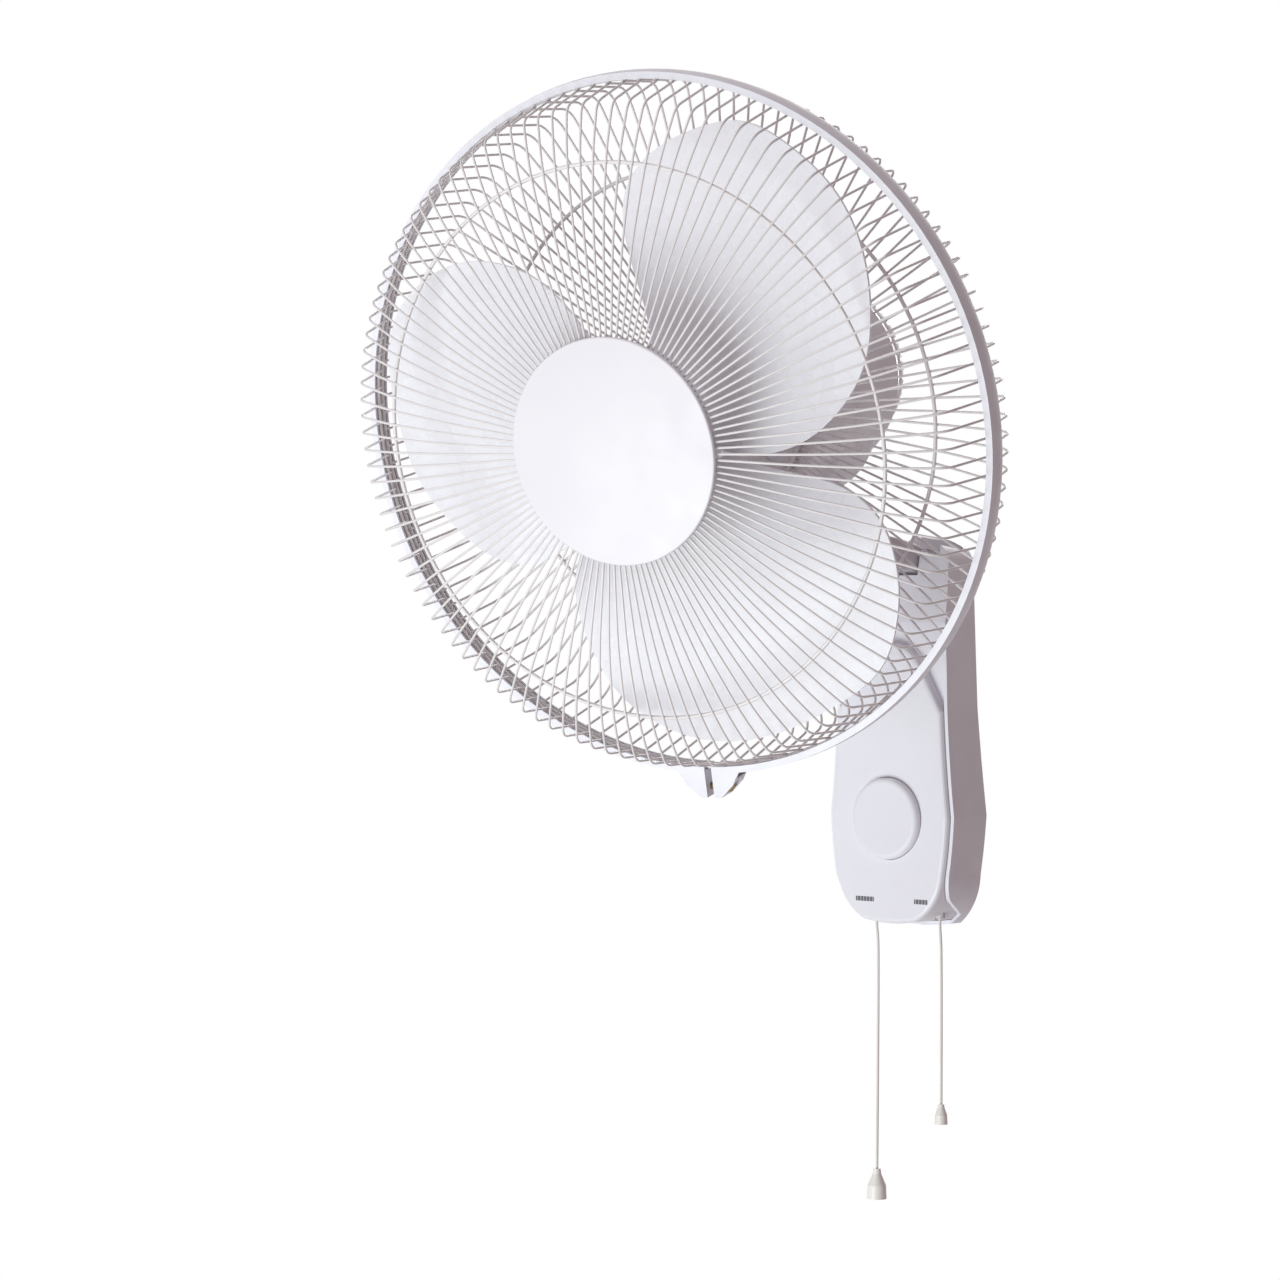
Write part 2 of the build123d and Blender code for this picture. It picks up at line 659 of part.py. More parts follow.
def column_body(inset, back, front):
    """The column between two depths: drafted behind its front rim and straight before it."""
    steps = [(inset, column_depth_share(back), back), (inset, 0, housing_front)]
    if front < housing_front:
        steps.append((inset, 0, front))
    return column_loft(steps)


def cover_side(forward):
    """Space in front of the line where the cover meets the housing, and below it under the column."""
    radius = 15.8 + forward
    middle_y, middle_z = housing_front + 15.8, -96.0
    turn = math.radians(66.4)
    back = -plate_recess - wall - max(forward, 0)
    front = (housing_front - forward, middle_z)
    half_way = (middle_y - radius * math.cos(turn / 2), middle_z - radius * math.sin(turn / 2))
    low = (middle_y - radius * math.cos(turn), middle_z - radius * math.sin(turn))
    end = (back, low[1] - (back - low[0]) / math.tan(turn))
    outline = make_face([
        Line((-120, 200), (front[0], 200)),
        Line((front[0], 200), front),
        ThreePointArc(front, half_way, low),
        Line(low, end),
        Line(end, (back, -160)),
        Line((back, -160), (-120, -160)),
        Line((-120, -160), (-120, 200))])
    return extrude(Plane.YZ * outline, 100, both=True)


def front_plane(forward):
    """Space in front of the column's sloping top."""
    return Pos(0, housing_front - forward, slope_foot) * Rot(-lean, 0, 0) * block(-100, 100, -120, 0, 0, 150)


def arch_face(inset):
    """Outline of the space below the arched top of the cover."""
    x, z = arch_shoulder
    side = Vector(arch_foot[0] - x, arch_foot[1] - z).normalized() * inset
    foot = (arch_foot[0] + side.Y, arch_foot[1] - side.X)
    shoulder = (x + side.Y, z - side.X)
    right = [Line((0, -200), (arch_foot[0], -200)),
             Line((arch_foot[0], -200), foot),
             Line(foot, shoulder),
             ThreePointArc(shoulder, (15.5 - inset * 0.6, 55.2 - inset * 0.8), (0, arch_top - inset))]
    return make_face(right + [mirror(piece, Plane.YZ) for piece in right])


def arch(inset):
    """Space below the arched top of the cover."""
    return extrude(Plane.XZ.offset(-10) * arch_face(inset), 70)


screw_places = [(-9, -112), (9, -112), (-32, -20), (32, -20)]
cord_places = [(-cord_x, cord_y), (cord_x, cord_y)]
lip_depth = 2.5
inlet_y = -16.0
inlet_bore = 3.5
inlet_low = column_bottom + cover_inset


def build_housing():
    """The rear half of the column: back wall, sides, ridge and sloping front with its open mouth."""
    outer = column_body(0, housing_back, housing_front) - cover_side(0) - front_plane(0)
    inner = column_body(wall, -plate_recess - wall, housing_front) - cover_side(-wall) - front_plane(-wall)
    ridge = column_body(0, housing_back, housing_front - ridge_height)
    ridge = ridge - column_body(ridge_width, 5, housing_front - 8)
    ridge = ridge - cover_side(ridge_height) - front_plane(ridge_height)
    body = outer - inner + ridge
    opening = column_body(opening_inset, 5, housing_front - 9) & arch(3.0)
    body = body - (opening & cover_side(-wall - 1))
    body = body - block(-plate_half_width - 2, plate_half_width + 2, -plate_recess, 1, -plate_half_height - 2,
                        plate_half_height + 2)
    mouth = Pos(0, -40, mouth_height) * Rot(-17, 0, 0) * block(-34, 34, -60, 31, 0, 60)
    body = body - mouth
    for side in (-1, 1):
        inside = side * cheek_gap
        outside = side * (cheek_gap + cheek)
        plate = block(min(inside, outside), max(inside, outside), -30, -plate_recess - wall + 0.5,
                      96, mouth_height + 1)
        body = body + plate
    notch = block(-cheek_gap - 1.5, cheek_gap + 1.5, -60, -30, tilt_axis_z - 7.0, mouth_height + 10)
    body = body - notch
    body = body - Pos(0, tilt_axis_y, tilt_axis_z) * Rot(0, 90, 0) * rod(tilt_bolt_radius + running, -30, 30)
    for x, z in screw_places:
        post = Pos(x, -plate_recess - 0.5, z) * Rot(90, 0, 0) * rod(4.5, 0, 5)
        hole = Pos(x, 0, z) * Rot(90, 0, 0) * rod(small_screw + 0.3, -5, 20)
        sink = Pos(x, -plate_recess, z) * Rot(90, 0, 0) * rod(3.2, -10, 2.2)
        body = body + post - hole - sink
    body = body - block(-4, 4, -plate_recess - wall - 1, -plate_recess + 1, 30, 44)
    return body - Pos(0, 0, -30) * Rot(90, 0, 0) * rod(2.2, -5, 20)


def build_cover():
    """The front shell of the column, which closes under it, with the seat of its round disc."""
    front = -column_depth
    edge = [(0, front + 3.0), (0.5, front + 1.4), (1.4, front + 0.5), (3.0, front)]
    steps = [(cover_inset, 1, housing_back), (cover_inset, 0, housing_front)]
    shell = column_loft(steps + [(cover_inset + inset, 0, y) for inset, y in edge])
    steps = [(0, 0)] + edge
    shell = shell & loft([Plane.XZ.offset(-y) * arch_face(inset) for inset, y in steps], ruled=True)
    shell = shell & cover_side(0.05)
    shell = shell - (column_body(cover_inset + wall, 5, front + wall) & arch(wall))
    lip = column_body(opening_inset + seat, 5, front + wall - 0.5) & arch(3.0 + seat)
    lip = lip - (column_body(opening_inset + seat + 1.8, 6, front + wall - 1) & arch(4.8 + seat))
    lip = lip & block(-100, 100, -60, housing_front + lip_depth, -94, 100)
    shell = shell + lip
    outside = disc_radius + disc_gap
    boss = rod(outside + wall, column_depth - disc_sink - wall, column_depth - 0.5)
    pocket = rod(outside, column_depth - disc_sink, column_depth + 5)
    centre = rod(6.0, column_depth - 10, column_depth + 5)
    at_disc = Pos(0, 0, disc_z) * Rot(90, 0, 0)
    shell = shell + at_disc * boss - at_disc * pocket - at_disc * centre
    for x, z in screw_places:
        post = tube(3.6, small_screw, plate_recess + 5.5 + seat, column_depth - wall + 0.5)
        shell = shell + Pos(x, 0, z) * Rot(90, 0, 0) * post
    for x, y in cord_places:
        shell = shell - Pos(x, y, 0) * rod(bush_radius + running, column_bottom - 5, column_floor(x) + 8)
    return shell - Pos(0, inlet_y, 0) * rod(5 + running, column_bottom - 5, column_bottom + 12)


def build_disc():
    """The round snap-in disc on the front cover."""
    seat_depth = column_depth - disc_sink
    top = column_depth + disc_proud
    shape = rod(disc_radius, seat_depth + 0.1, top)
    shape = fillet(shape.edges().group_by(Axis.Z)[-1], disc_round)
    hollow = rod(disc_radius - wall, seat_depth, top - wall - 0.6)
    stem = tube(5.8, 4.0, seat_depth - wall - 2.2, top - wall - 0.4)
    barb = tube(6.6, 4.0, seat_depth - wall - 1.8, seat_depth - wall - 0.3)
    body = (shape - hollow) + stem
    split = block(-0.8, 0.8, -8, 8, seat_depth - wall - 4, seat_depth)
    return Pos(0, 0, disc_z) * Rot(90, 0, 0) * ((body + barb) - split)


def build_wall_plate():
    """The plate that is screwed to the wall; the column hangs on its hook."""
    plate = block(-plate_half_width, plate_half_width, -plate_thickness, 0,
                  -plate_half_height, plate_half_height)
    plate = fillet(plate.edges().filter_by(Axis.Y), 4)
    for x in (-wall_hole_x / 2, wall_hole_x / 2):
        for z in (-wall_hole_z / 2, wall_hole_z / 2):
            plate = plate - Pos(x, 0, z) * Rot(90, 0, 0) * rod(wall_hole_radius, -1, plate_thickness + 1)
    pads = block(-14, 14, -plate_recess, -plate_thickness + 0.5, -38, -22)
    pads = pads + block(-14, 14, -plate_recess, -plate_thickness + 0.5, 24, 30)
    neck_of_hook = block(-3.6, 3.6, -plate_recess - wall - 0.4, -plate_thickness + 0.5, 31, 38)
    hook = block(-3.6, 3.6, -plate_recess - wall - 2.4, -plate_recess - wall - 0.3, 31, 43)
    body = plate + pads + neck_of_hook + hook
    return body - Pos(0, 0, -30) * Rot(90, 0, 0) * rod(1.8, -1, plate_recess + 1)


def build_lock_screw():
    face = plate_recess + wall
    return Pos(0, -face, -30) * Rot(90, 0, 0) * screw(face - 0.5, 1.8 - running, 3.4, 2.2)


def build_column_screws():
    made = []
    for x, z in screw_places:
        one = Rot(-90, 0, 0) * screw(14, small_screw - running, 2.8, 1.8)
        made.append(Pos(x, -plate_recess - 2.2, z) * one)
    return made


def build_tilt_bolt():
    """The hinge bolt, its head to the right."""
    reach = cheek_gap + cheek
    body = screw(2 * reach + 7, tilt_bolt_radius, 7.0, 3.0)
    return Pos(reach + 1.2, tilt_axis_y, tilt_axis_z) * Rot(0, 90, 0) * body


def build_tilt_nut():
    reach = cheek_gap + cheek
    nut = hexagon_nut(13, tilt_bolt_radius + running, 5)
    return Pos(-reach - 0.1, tilt_axis_y, tilt_axis_z) * Rot(0, -90, 0) * nut


def build_tilt_washer():
    reach = cheek_gap + cheek
    washer = tube(8, tilt_bolt_radius + running, 0, 1.0)
    return Pos(reach + 0.1, tilt_axis_y, tilt_axis_z) * Rot(0, 90, 0) * washer


# ---- electrics in the column ---------------------------------------------------------------------
switch_height = 26.0
eye_top = 20.0


def build_switch(x, wide):
    """A pull switch, bored from below for its pull rod."""
    body = block(x - wide, x + wide, cord_y - 9, cord_y + 9, switch_bottom, switch_bottom + switch_height)
    body = fillet(body.edges().filter_by(Axis.Z), 1.5)
    nose = Pos(x, cord_y, 0) * rod(4, switch_bottom - 3, switch_bottom + 1)
    stand = block(x - 6, x + 6, cord_y + 8.5, -plate_recess - wall - 0.05,
                  switch_bottom + 8, switch_bottom + 18)
    bore = Pos(x, cord_y, 0) * rod(1.5 + running, switch_bottom - 4, switch_bottom + eye_top)
    return body + nose + stand - bore


def build_pull_eye(x):
    """The rod that the cord pulls out of its switch."""
    stem = rod(1.5, switch_bottom - 5.5, switch_bottom + eye_top - 1)
    foot = rod(2.4, switch_bottom - 7.5, switch_bottom - 5)
    return Pos(x, cord_y, 0) * (stem + foot)


def column_floor(x):
    """Height of the column's underside, level with the cords, at a distance from its middle."""
    section = column_face(cover_inset, column_depth_share(cord_y))
    line = Edge.make_line((x, -200, 0), (x, 0, 0))
    cut = section.intersect(line)
    points = cut.vertices() if hasattr(cut, "vertices") else [v for c in cut for v in c.vertices()]
    return min(v.Y for v in points)


def build_bush(x, y, low):
    """The sleeve that a cord runs through, with its collar inside the column."""
    high = low + 9.3
    sleeve = tube(bush_radius, cord_radius + 0.7, low - 0.8, high)
    collar = tube(bush_radius + 1.2, cord_radius + 0.7, high - 0.9, high)
    return Pos(x, y, 0) * (collar + sleeve)


def build_inlet():
    """The grommet that the mains lead would enter by, its flange inside the column."""
    high = inlet_low + wall + 2.2
    flange = tube(7, inlet_bore, inlet_low + wall + 0.5, high)
    sleeve = tube(5, inlet_bore, inlet_low - 0.3, high)
    return Pos(0, inlet_y, 0) * (flange + sleeve)


def build_capacitor():
    body = block(-18, 18, -30, -12, 20, 46)
    body = fillet(body.edges(), 1.5)
    stand = block(-5, 5, -12.2, -plate_recess - wall - 0.05, 50, 60)
    strap = block(-5, 5, -13, -12, 45, 60)
    return body + strap + stand


def build_terminal_block():
    body = block(-17, 17, -24, -plate_recess - wall - 0.05, -72, -58)
    for i in range(4):
        x = -12 + 8 * i
        body = body - Pos(x, -24, -65) * Rot(90, 0, 0) * rod(2.2, -6, 1)
        body = body - Pos(x, -17, 0) * rod(1.6, -75, -50)
    return body


def build_blade():
    """Three wide cambered blades on a hollow hub."""
    front_z = 38.0
    slopes = [(16, -0.62), (45, -0.36), (95, -0.215), (150, -0.22), (204, -0.29)]
    middle_w = 8.0
    middle_z = 18.0
    sections = []
    for u, slope in slopes:
        left = -66.0 if u < 30 else -104.0
        right = 66.0 if u < 30 else 122.0
        ends = [(w, middle_z + slope * (w - middle_w)) for w in (left, right)]
        half_w = (left + right) / 2
        half_z = middle_z + slope * (half_w - middle_w) - blade_camber
        top = ThreePointArc(ends[0], (half_w, half_z), ends[1])
        drop = blade_thickness
        under = [(w, z - drop) for w, z in ends]
        low = ThreePointArc(under[0], (half_w, half_z - drop), under[1])
        sides = [Line(ends[i], under[i]) for i in (0, 1)]
        plane = Plane(origin=(u, 0, 0), x_dir=(0, 1, 0), z_dir=(1, 0, 0))
        sections.append(plane * make_face([top, low] + sides))
    slab = loft(sections)
    edge = Spline((26, -34), (46, -66), (74, -86), (106, -92), (138, -87), (166, -69), (186, -44), (197, -8),
                  (195, 32), (183, 70), (160, 92), (130, 107), (98, 108), (72, 91), (50, 60), (28, 34))
    outline = make_face([edge, Line((28, 34), (26, -34))])
    prism = Pos(0, 0, -60) * extrude(outline, 160)
    one = slab & prism
    blades = [Rot(0, 0, 45 + i * 360 / blade_count) * one for i in range(blade_count)]
    cup = tube(hub_radius, hub_radius - hub_wall, hub_back, hub_front)
    web = tube(hub_radius - 1, shaft_radius + running, hub_front - hub_wall - 4, hub_front)
    core = tube(12, shaft_radius + running, hub_back + 2, hub_front)
    inside = rod(hub_radius - hub_wall, hub_back - 30, hub_front - hub_wall - 4)
    blades = [b - inside - rod(shaft_radius + running, -50, 100) for b in blades]
    body = cup + web + core + blades
    pin_slot = block(-pin_radius - 0.1, pin_radius + 0.1, -12.5, 12.5, hub_back - 40, pin_height + 0.1)
    pin_top = Pos(0, 0, pin_height) * Rot(90, 0, 0) * rod(pin_radius + 0.1, -12.5, 12.5)
    return body - pin_slot - pin_top


def build_spinner():
    """The domed cap that holds the blade on its shaft."""
    low = hub_front + 0.1
    rise = 12.0
    dome_radius = (spinner_radius ** 2 + rise ** 2) / (2 * rise)
    dome = Pos(0, 0, low + 4 + rise - dome_radius) * Sphere(dome_radius)
    cap = rod(spinner_radius, low, low + 4 + rise) & dome
    return cap - rod(shaft_radius + running, low - 1, shaft_front + 0.5)


# ---- pull cords ----------------------------------------------------------------------------------
speed_points = [(0, -7), (1.0, -14), (1.6, -23), (1.4, -80), (0.4, -175)]
swing_points = [(0, -7), (0.7, -14), (1.2, -23), (1.3, -70), (1.1, -126)]


def cord_route(x, points, low):
    """The cord's corners: straight down from the pull rod, through the bush and on to the pendant."""
    top = Vector(x, cord_y, switch_bottom - 7.5)
    return [top] + [Vector(x + dx, cord_y, low + dz) for dx, dz in points]


def build_cord(route):
    runs = [(b - a).length for a, b in zip(route, route[1:])]
    radii = []
    for a, b, c, first, second in zip(route, route[1:], route[2:], runs, runs[1:]):
        turn = math.radians((b - a).get_angle(c - b))
        radii.append(0.45 * min(first, second) / math.tan(turn / 2))
    path = FilletPolyline(*route, radius=radii)
    start = Plane(origin=path @ 0, z_dir=path % 0)
    body = sweep(start * Circle(cord_radius), path=path)
    expected = math.pi * cord_radius ** 2 * path.length
    print("cord length", round(path.length, 1), "volume ratio", round(body.volume / expected, 4),
          "radii", [round(r) for r in radii])
    return body


def build_pendant(end, direction, top_radius, radius, length):
    """A small bell on the cord's end."""
    shape = turned([(0, 0), (top_radius, 0), (top_radius * 1.15, -length * 0.18),
                    (radius * 0.93, -length * 0.55), (radius, -length), (0, -length)])
    return Plane(origin=end, z_dir=-direction).location * shape


# ---- write every node ------------------------------------------------------------------------
os.makedirs("parts", exist_ok=True)

save("front_grille_ribs", [head * rib for rib in guard_ribs(front_profile, front_bends, 0)])
save("front_grille_rings", [head * wire for wire in guard_rings(
    front_profile, front_ring_r, front_hub_ring_r, rim_offset, -rib_inside)])
save("rear_grille_ribs", [head * rib for rib in guard_ribs(rear_profile, rear_bends, 0.5)])
save("rear_grille_rings", [head * wire for wire in guard_rings(
    rear_profile, rear_ring_r, hub_plate_radius - 3, -rim_offset, rib_inside)])
save("badge", head * build_badge())
save("badge_backplate", head * build_backplate())
save("badge_screws", [head * piece for piece in build_badge_screws()])
save("guard_hoop", head * build_hoop())
save("hoop_screw", head * build_hoop_screw())
save("hoop_nut", head * build_hoop_nut())
save("rear_grille_plate", head * build_hub_plate())
save("grille_nut", head * build_grille_nut())

save("fan_blade", head * build_blade())
save("blade_spinner", head * build_spinner())
save("motor_shaft", head * build_shaft())
save("drive_pin", head * build_drive_pin())
save("rotor", head * build_rotor())
save("stator_core", head * build_stator())
save("stator_windings", [head * piece for piece in build_windings()])
save("motor_front_shield", head * build_front_shield())
save("motor_rear_shield", head * build_rear_shield())
save("motor_bearings", [head * piece for piece in build_bearings()])
save("motor_bolts", [head * piece for piece in build_bolts()])
front_cover, rear_cover = build_covers()
save("motor_front_cover", head * front_cover)
save("motor_rear_cover", head * rear_cover)
save("motor_cover_screws", [head * piece for piece in build_cover_screws()])

save("swivel_bracket", swivel * build_bracket())
save("swing_motor", swivel * build_swing_motor())
save("swing_crank", swivel * build_crank())
save("swing_lever", neck * build_lever())
save("swivel_pin", neck * build_pan_pin())
save("swivel_pin_clip", neck * build_pin_clip())
save("neck_arm", build_neck())

save("column_rear_housing", build_housing())
save("column_front_cover", build_cover())
save("cover_disc", build_disc())
save("wall_plate", build_wall_plate())
save("lock_screw", build_lock_screw())
save("column_screws", build_column_screws())
save("tilt_bolt", build_tilt_bolt())
save("tilt_nut", build_tilt_nut())
save("tilt_washer", build_tilt_washer())

floor = column_floor(cord_x)
print("floor at the cords", round(floor, 3))
save("speed_switch", build_switch(-cord_x, 9.5))
save("swing_switch", build_switch(cord_x, 8.5))
save("speed_pull_rod", build_pull_eye(-cord_x))
save("swing_pull_rod", build_pull_eye(cord_x))
save("cord_bushes", [build_bush(x, y, floor) for x, y in cord_places])
save("lead_grommet", build_inlet())
save("run_capacitor", build_capacitor())
save("terminal_block", build_terminal_block())

for name, x, points, sizes in (("speed", -cord_x, speed_points, (2.6, 6.8, 20.5)),
                               ("swing", cord_x, swing_points, (2.0, 4.4, 13.5))):
    route = cord_route(x, points, floor)
    save(f"{name}_cord", build_cord(route))
    save(f"{name}_pendant", build_pendant(route[-1], (route[-1] - route[-2]).normalized(), *sizes))
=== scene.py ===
"""Looks of the wall mounted fan: materials, cords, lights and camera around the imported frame."""

import bpy
import json
import math
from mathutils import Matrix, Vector


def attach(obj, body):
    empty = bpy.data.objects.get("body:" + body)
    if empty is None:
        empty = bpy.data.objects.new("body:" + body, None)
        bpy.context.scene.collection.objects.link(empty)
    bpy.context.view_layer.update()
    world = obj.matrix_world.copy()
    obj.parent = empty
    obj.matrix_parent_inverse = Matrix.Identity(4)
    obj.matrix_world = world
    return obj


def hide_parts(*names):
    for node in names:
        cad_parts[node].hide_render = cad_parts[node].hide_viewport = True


MM = 1000.0

# ---- camera and light: metres, watts, degrees --------------------------------------------------
LENS_MM = 95.625
SENSOR_MM = 36.0
CAMERA_PLACE = (1.4092, -1.8649, 0.06125)
CAMERA_TURN = (90, 0, 42)
FAR_CLIP = 50.0

# name, place, what it points at, disc size, power, colour
LAMPS = [
    ("key", (-0.12, -2.25, -1.05), (0.02, -0.3, 0.1), 1.7, 48.0, (0.91, 0.99, 1.0)),
    ("top", (-0.5, -1.7, 1.9), (0.0, -0.3, 0.1), 1.8, 18.0, (0.93, 0.98, 1.0)),
    ("back", (-1.0, 2.1, 0.9), (0.0, -0.2, 0.1), 1.6, 26.0, (0.96, 0.98, 1.0)),
]
FILL_COLOUR = (1.0, 0.78, 0.80, 1)
FILL_STRENGTH = 0.28

# ---- moulded plastic: noise scales per metre, bump depths in metres -----------------------------
DRIFT_SCALE = 9.0
DRIFT_STOPS = (0.3, 0.72)
GLOSS_SCALE = 60.0
GRAIN_STRENGTH = 0.6
WAVE_SCALE = 28.0
WAVE_DEPTH = 0.00012
WAVE_STRENGTH = 0.35

# ---- metal ---------------------------------------------------------------------------------------
METAL_STOPS = (0.25, 0.75)
METAL_GLOSS_SCALE = 90.0
METAL_DEPTH = 0.00002
METAL_STRENGTH = 0.5

# The middle of the noise, which is spread over the whole range of a roughness.
NOISE_LOW, NOISE_HIGH = 0.3, 0.7

# ---- printed scales on the cover, in metres in the cover's own place ----------------------------
CASING_LIGHT = (232, 232, 238)
CASING_DARK = (226, 225, 232)
INK = (94, 92, 100)
SCALES = [(-0.0198, 0.0078), (0.0276, 0.0056)]  # middle and half width of each
SCALE_HEIGHT, SCALE_HALF_HEIGHT = -0.114, 0.0016
FACE_DEPTH, FACE_REACH = -0.05, 0.0015
MARK_PITCH = 0.0026
MARK_GAP = 0.0003

# ---- pull cords, in millimetres ------------------------------------------------------------------
CORD_DEPTH = -28.0
CORD_TOP = -107.5
CORD_RADIUS = 0.9
FLOOR = -125.15567  # the underside of the column where the cords leave it
CORD_ROUND = 4
CORD_STEPS = 24
CORD_ORDER = 3

# ---- ground --------------------------------------------------------------------------------------
GROUND_SIZE = 1.6
GROUND_PLACE = (0, -0.2, -2.3)
GROUND_COLOUR = (0.82, 0.82, 0.83, 1)
GROUND_ROUGHNESS = 0.9

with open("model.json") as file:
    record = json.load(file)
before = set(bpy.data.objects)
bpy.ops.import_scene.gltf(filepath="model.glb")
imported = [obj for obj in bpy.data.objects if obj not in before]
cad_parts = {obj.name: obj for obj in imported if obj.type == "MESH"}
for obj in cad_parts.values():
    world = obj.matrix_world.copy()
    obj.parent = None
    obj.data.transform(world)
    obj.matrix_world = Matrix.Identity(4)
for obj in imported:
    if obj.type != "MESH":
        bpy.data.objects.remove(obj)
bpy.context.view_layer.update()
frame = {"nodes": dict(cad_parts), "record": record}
nodes = frame["nodes"]

scene = bpy.context.scene


# ---- camera and light --------------------------------------------------------------------------
def set_camera():
    data = bpy.data.cameras.new("camera")
    data.lens = LENS_MM
    data.sensor_width = SENSOR_MM
    data.clip_end = FAR_CLIP
    cam = bpy.data.objects.new("camera", data)
    cam.location = CAMERA_PLACE
    cam.rotation_euler = [math.radians(angle) for angle in CAMERA_TURN]
    scene.collection.objects.link(cam)
    scene.camera = cam


def add_area(name, place, target, size, power, colour):
    data = bpy.data.lights.new(name, "AREA")
    data.shape = "DISK"
    data.size = size
    data.energy = power
    data.color = colour
    lamp = bpy.data.objects.new(name, data)
    lamp.location = place
    towards = Vector(target) - Vector(place)
    lamp.rotation_euler = towards.to_track_quat("-Z", "Y").to_euler()
    scene.collection.objects.link(lamp)


def set_world():
    """White to the camera, in reflections and through clear things, a soft fill on surfaces."""
    world = bpy.data.worlds.new("world")
    scene.world = world
    world.use_nodes = True
    tree = world.node_tree
    tree.nodes.clear()

    def node(kind):
        return tree.nodes.new("ShaderNode" + kind)

    def background(colour, strength):
        made = node("Background")
        made.inputs["Color"].default_value = colour
        made.inputs["Strength"].default_value = strength
        return made.outputs[0]

    def either(a, b):
        made = node("Math")
        made.operation = "MAXIMUM"
        tree.links.new(a, made.inputs[0])
        tree.links.new(b, made.inputs[1])
        return made.outputs[0]

    rays = node("LightPath").outputs
    seen = either(either(rays["Is Camera Ray"], rays["Is Glossy Ray"]),
                  rays["Is Transmission Ray"])
    mix = node("MixShader")
    tree.links.new(seen, mix.inputs[0])
    tree.links.new(background(FILL_COLOUR, FILL_STRENGTH), mix.inputs[1])
    tree.links.new(background((1, 1, 1, 1), 1.0), mix.inputs[2])
    tree.links.new(mix.outputs[0], node("OutputWorld").inputs["Surface"])


set_camera()
set_world()
scene.view_settings.view_transform = "Standard"
for lamp in LAMPS:
    add_area(*lamp)


# ---- materials ---------------------------------------------------------------------------------
def linear(c):
    c = c / 255.0
    return c / 12.92 if c <= 0.04045 else ((c + 0.055) / 1.055) ** 2.4


def rgb(r, g, b):
    return (linear(r), linear(g), linear(b), 1.0)


class Surface:
    """A Principled material with node helpers."""

    def __init__(self, name, rough=0.5, metal=0.0, spec=0.5):
        self.material = bpy.data.materials.new(name)
        self.material.use_nodes = True
        self.tree = self.material.node_tree
        self.shader = self.tree.nodes["Principled BSDF"]
        self.shader.inputs["Roughness"].default_value = rough
        self.shader.inputs["Metallic"].default_value = metal
        self.shader.inputs["Specular IOR Level"].default_value = spec
        self.normal = None

    def node(self, kind, **values):
        made = self.tree.nodes.new("ShaderNode" + kind)
        for key, value in values.items():
            setattr(made, key, value)
        return made

    def link(self, a, b):
        self.tree.links.new(a, b)

    def place(self):
        return self.node("TexCoord").outputs["Object"]

    def noise(self, scale, detail, stretch=None):
        source = self.place()
        if stretch:
            mapping = self.node("Mapping")
            mapping.inputs["Scale"].default_value = stretch
            self.link(source, mapping.inputs["Vector"])
            source = mapping.outputs["Vector"]
        made = self.node("TexNoise")
        made.inputs["Scale"].default_value = scale
        made.inputs["Detail"].default_value = detail
        self.link(source, made.inputs["Vector"])
        return made.outputs["Fac"]

    def math(self, operation, *values):
        """A math node whose inputs are linked, or set where they are numbers."""
        made = self.node("Math", operation=operation)
        for socket, value in zip(made.inputs, values):
            if isinstance(value, (int, float)):
                socket.default_value = value
            else:
                self.link(value, socket)
        return made.outputs[0]

    def ramp(self, fac, places, colours):
        made = self.node("ValToRGB")
        for element, at, colour in zip(made.color_ramp.elements, places, colours):
            element.position = at
            element.color = colour
        self.link(fac, made.inputs["Fac"])
        return made.outputs["Color"]

    def spread(self, fac, low, high, socket):
        made = self.node("MapRange")
        made.inputs["From Min"].default_value = NOISE_LOW
        made.inputs["From Max"].default_value = NOISE_HIGH
        made.inputs["To Min"].default_value = low
        made.inputs["To Max"].default_value = high
        self.link(fac, made.inputs["Value"])
        self.link(made.outputs["Result"], self.shader.inputs[socket])

    def bump(self, height, depth, strength):
        """Adds a bump on top of the ones before it."""
        made = self.node("Bump")
        made.inputs["Strength"].default_value = strength
        made.inputs["Distance"].default_value = depth
        self.link(height, made.inputs["Height"])
        if self.normal is not None:
            self.link(self.normal, made.inputs["Normal"])
        self.normal = made.outputs["Normal"]
        self.link(self.normal, self.shader.inputs["Normal"])


def plastic(name, light, dark, rough=(0.35, 0.5), grain=0.00004, grain_scale=900.0,
            printing=None):
    """Moulded plastic: slow colour drift, fine eroded grain and uneven gloss."""
    s = Surface(name)
    colour = s.ramp(s.noise(DRIFT_SCALE, 3.0), DRIFT_STOPS, (rgb(*dark), rgb(*light)))
    if printing:
        colour = printing(s, colour)
    s.link(colour, s.shader.inputs["Base Color"])
    s.spread(s.noise(GLOSS_SCALE, 5.0), rough[0], rough[1], "Roughness")
    s.bump(s.noise(grain_scale, 2.0), grain, GRAIN_STRENGTH)
    s.bump(s.noise(WAVE_SCALE, 2.0), WAVE_DEPTH, WAVE_STRENGTH)
    return s.material


def metal(name, light, dark, rough=(0.25, 0.45), stretch=None, scale=220.0):
    """Metal whose colour and fine relief follow one noise, drawn out where it is stretched."""
    s = Surface(name, metal=1.0)
    fac = s.noise(scale, 6.0, stretch)
    s.link(s.ramp(fac, METAL_STOPS, (rgb(*dark), rgb(*light))), s.shader.inputs["Base Color"])
    s.spread(s.noise(METAL_GLOSS_SCALE, 4.0), rough[0], rough[1], "Roughness")
    s.bump(fac, METAL_DEPTH, METAL_STRENGTH)
    return s.material


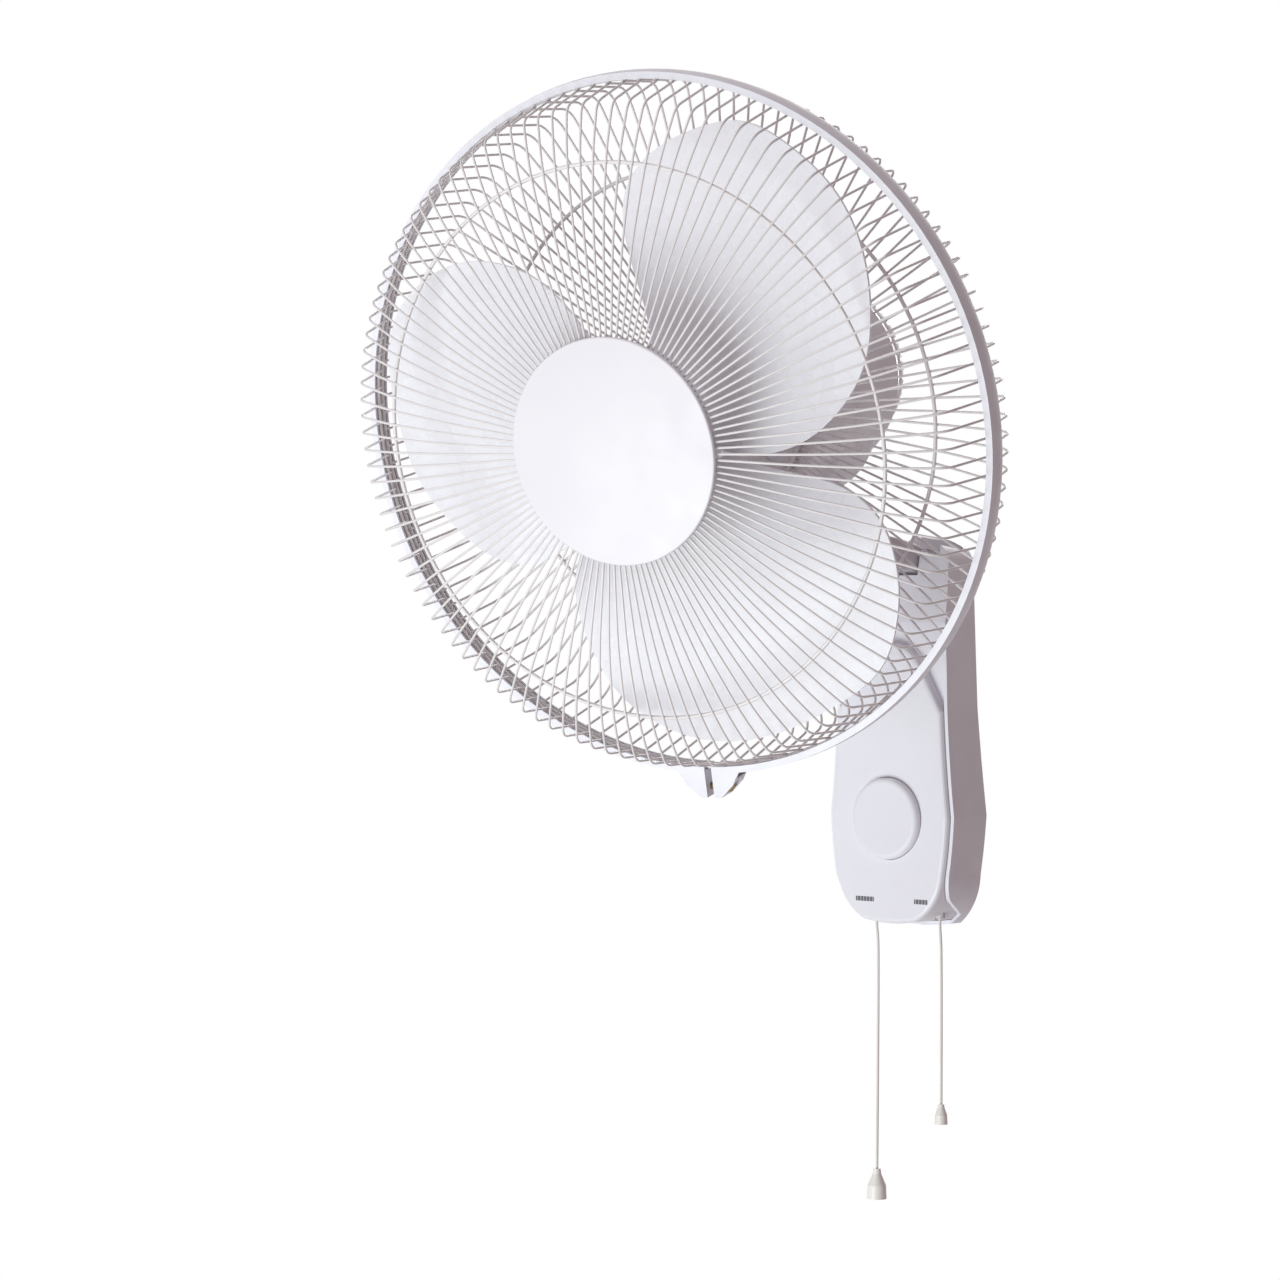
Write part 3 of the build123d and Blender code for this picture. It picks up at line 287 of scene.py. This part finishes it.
def scales(s, plain):
    """Two small grey scales of bars, printed low on the front face."""
    split = s.node("SeparateXYZ")
    s.link(s.place(), split.inputs[0])
    x, y, z = split.outputs["X"], split.outputs["Y"], split.outputs["Z"]
    bars = s.math("GREATER_THAN", s.math("PINGPONG", x, MARK_PITCH / 2), MARK_GAP / 2)
    face = s.math("MULTIPLY", s.math("COMPARE", z, SCALE_HEIGHT, SCALE_HALF_HEIGHT),
                  s.math("COMPARE", y, FACE_DEPTH, FACE_REACH))
    first, second = [s.math("COMPARE", x, middle, reach) for middle, reach in SCALES]
    ink = s.math("MULTIPLY", s.math("MULTIPLY", s.math("MAXIMUM", first, second), face), bars)
    mix = s.node("Mix", data_type="RGBA")
    s.link(ink, mix.inputs["Factor"])
    s.link(plain, mix.inputs["A"])
    mix.inputs["B"].default_value = rgb(*INK)
    return mix.outputs["Result"]


looks = {
    "casing_plastic": plastic("casing_plastic", CASING_LIGHT, CASING_DARK),
    "blade_plastic": plastic("blade_plastic", (244, 244, 248), (238, 238, 243),
                             (0.22, 0.34), 0.00002),
    "coated_wire": plastic("coated_wire", (230, 226, 226), (219, 215, 215),
                           (0.3, 0.45), 0.00003, 700.0),
    "coated_casting": plastic("coated_casting", (214, 210, 214), (202, 198, 203),
                              (0.4, 0.6), 0.00008, 420.0),
    "rubber": plastic("rubber", (214, 211, 213), (203, 200, 203), (0.55, 0.7), 0.00005),
    "pendant_plastic": plastic("pendant_plastic", (240, 238, 232), (231, 228, 221),
                               (0.25, 0.4), 0.00002),
    "dark_plastic": plastic("dark_plastic", (46, 45, 47), (36, 35, 37), (0.4, 0.6)),
    "zinc_steel": metal("zinc_steel", (196, 195, 194), (160, 158, 156)),
    "lamination_steel": metal("lamination_steel", (120, 120, 124), (88, 88, 92),
                              (0.35, 0.55), (0.2, 0.2, 60.0), 40.0),
    "cast_aluminium": metal("cast_aluminium", (188, 190, 192), (158, 160, 163),
                            (0.45, 0.65), None, 320.0),
    "copper": metal("copper", (190, 112, 64), (146, 78, 42), (0.25, 0.4),
                    (1.0, 1.0, 9.0), 260.0),
    "brass": metal("brass", (168, 148, 104), (120, 100, 62), (0.35, 0.55)),
    "bearing_bronze": metal("bearing_bronze", (182, 148, 92), (150, 116, 66), (0.3, 0.5)),
    "cord": plastic("cord", (232, 229, 224), (218, 214, 208), (0.6, 0.8), 0.0001, 1200.0),
}
for part in frame["record"]["subparts"]:
    obj = nodes[part["node"]]
    obj.data.materials.clear()
    obj.data.materials.append(looks[part["material_slot"]])

# Two pieces look a little unlike the rest of the casing.
nodes["badge"].data.materials[0] = plastic("badge_plastic", (228, 226, 230), (223, 221, 226),
                                           (0.3, 0.42), 0.00002)
nodes["column_front_cover"].data.materials[0] = plastic("printed_casing", CASING_LIGHT,
                                                        CASING_DARK, printing=scales)


# ---- pull cords --------------------------------------------------------------------------------
def add_cord(side, x, low, points):
    """One cord, straight down inside the column and then along its points below the floor."""
    route = [(x, CORD_DEPTH, CORD_TOP)]
    route += [(x + dx, CORD_DEPTH, low + dz) for dx, dz in points]
    curve = bpy.data.curves.new(side + "_cord_line", "CURVE")
    curve.dimensions = "3D"
    curve.bevel_depth = CORD_RADIUS / MM
    curve.bevel_resolution = CORD_ROUND
    curve.resolution_u = CORD_STEPS
    spline = curve.splines.new("NURBS")
    spline.points.add(len(route) - 1)
    for point, (px, py, pz) in zip(spline.points, route):
        point.co = (px / MM, py / MM, pz / MM, 1)
    spline.order_u = CORD_ORDER
    spline.use_endpoint_u = True
    made = bpy.data.objects.new(side + "_cord_line", curve)
    scene.collection.objects.link(made)
    made.data.materials.append(looks["cord"])
    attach(made, side + "_pull")
    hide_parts(side + "_cord")


add_cord("speed", -27.0, FLOOR,
         [(0, -7), (1.0, -14), (1.6, -23), (1.4, -80), (0.4, -175)])
add_cord("swing", 27.0, FLOOR,
         [(0, -7), (0.7, -14), (1.2, -23), (1.3, -70), (1.1, -126)])


# ---- floor -------------------------------------------------------------------------------------
bpy.ops.mesh.primitive_plane_add(size=GROUND_SIZE, location=GROUND_PLACE)
floor = bpy.context.object
floor.name = "floor"
ground = Surface("floor", GROUND_ROUGHNESS)
ground.shader.inputs["Base Color"].default_value = GROUND_COLOUR
floor.data.materials.append(ground.material)
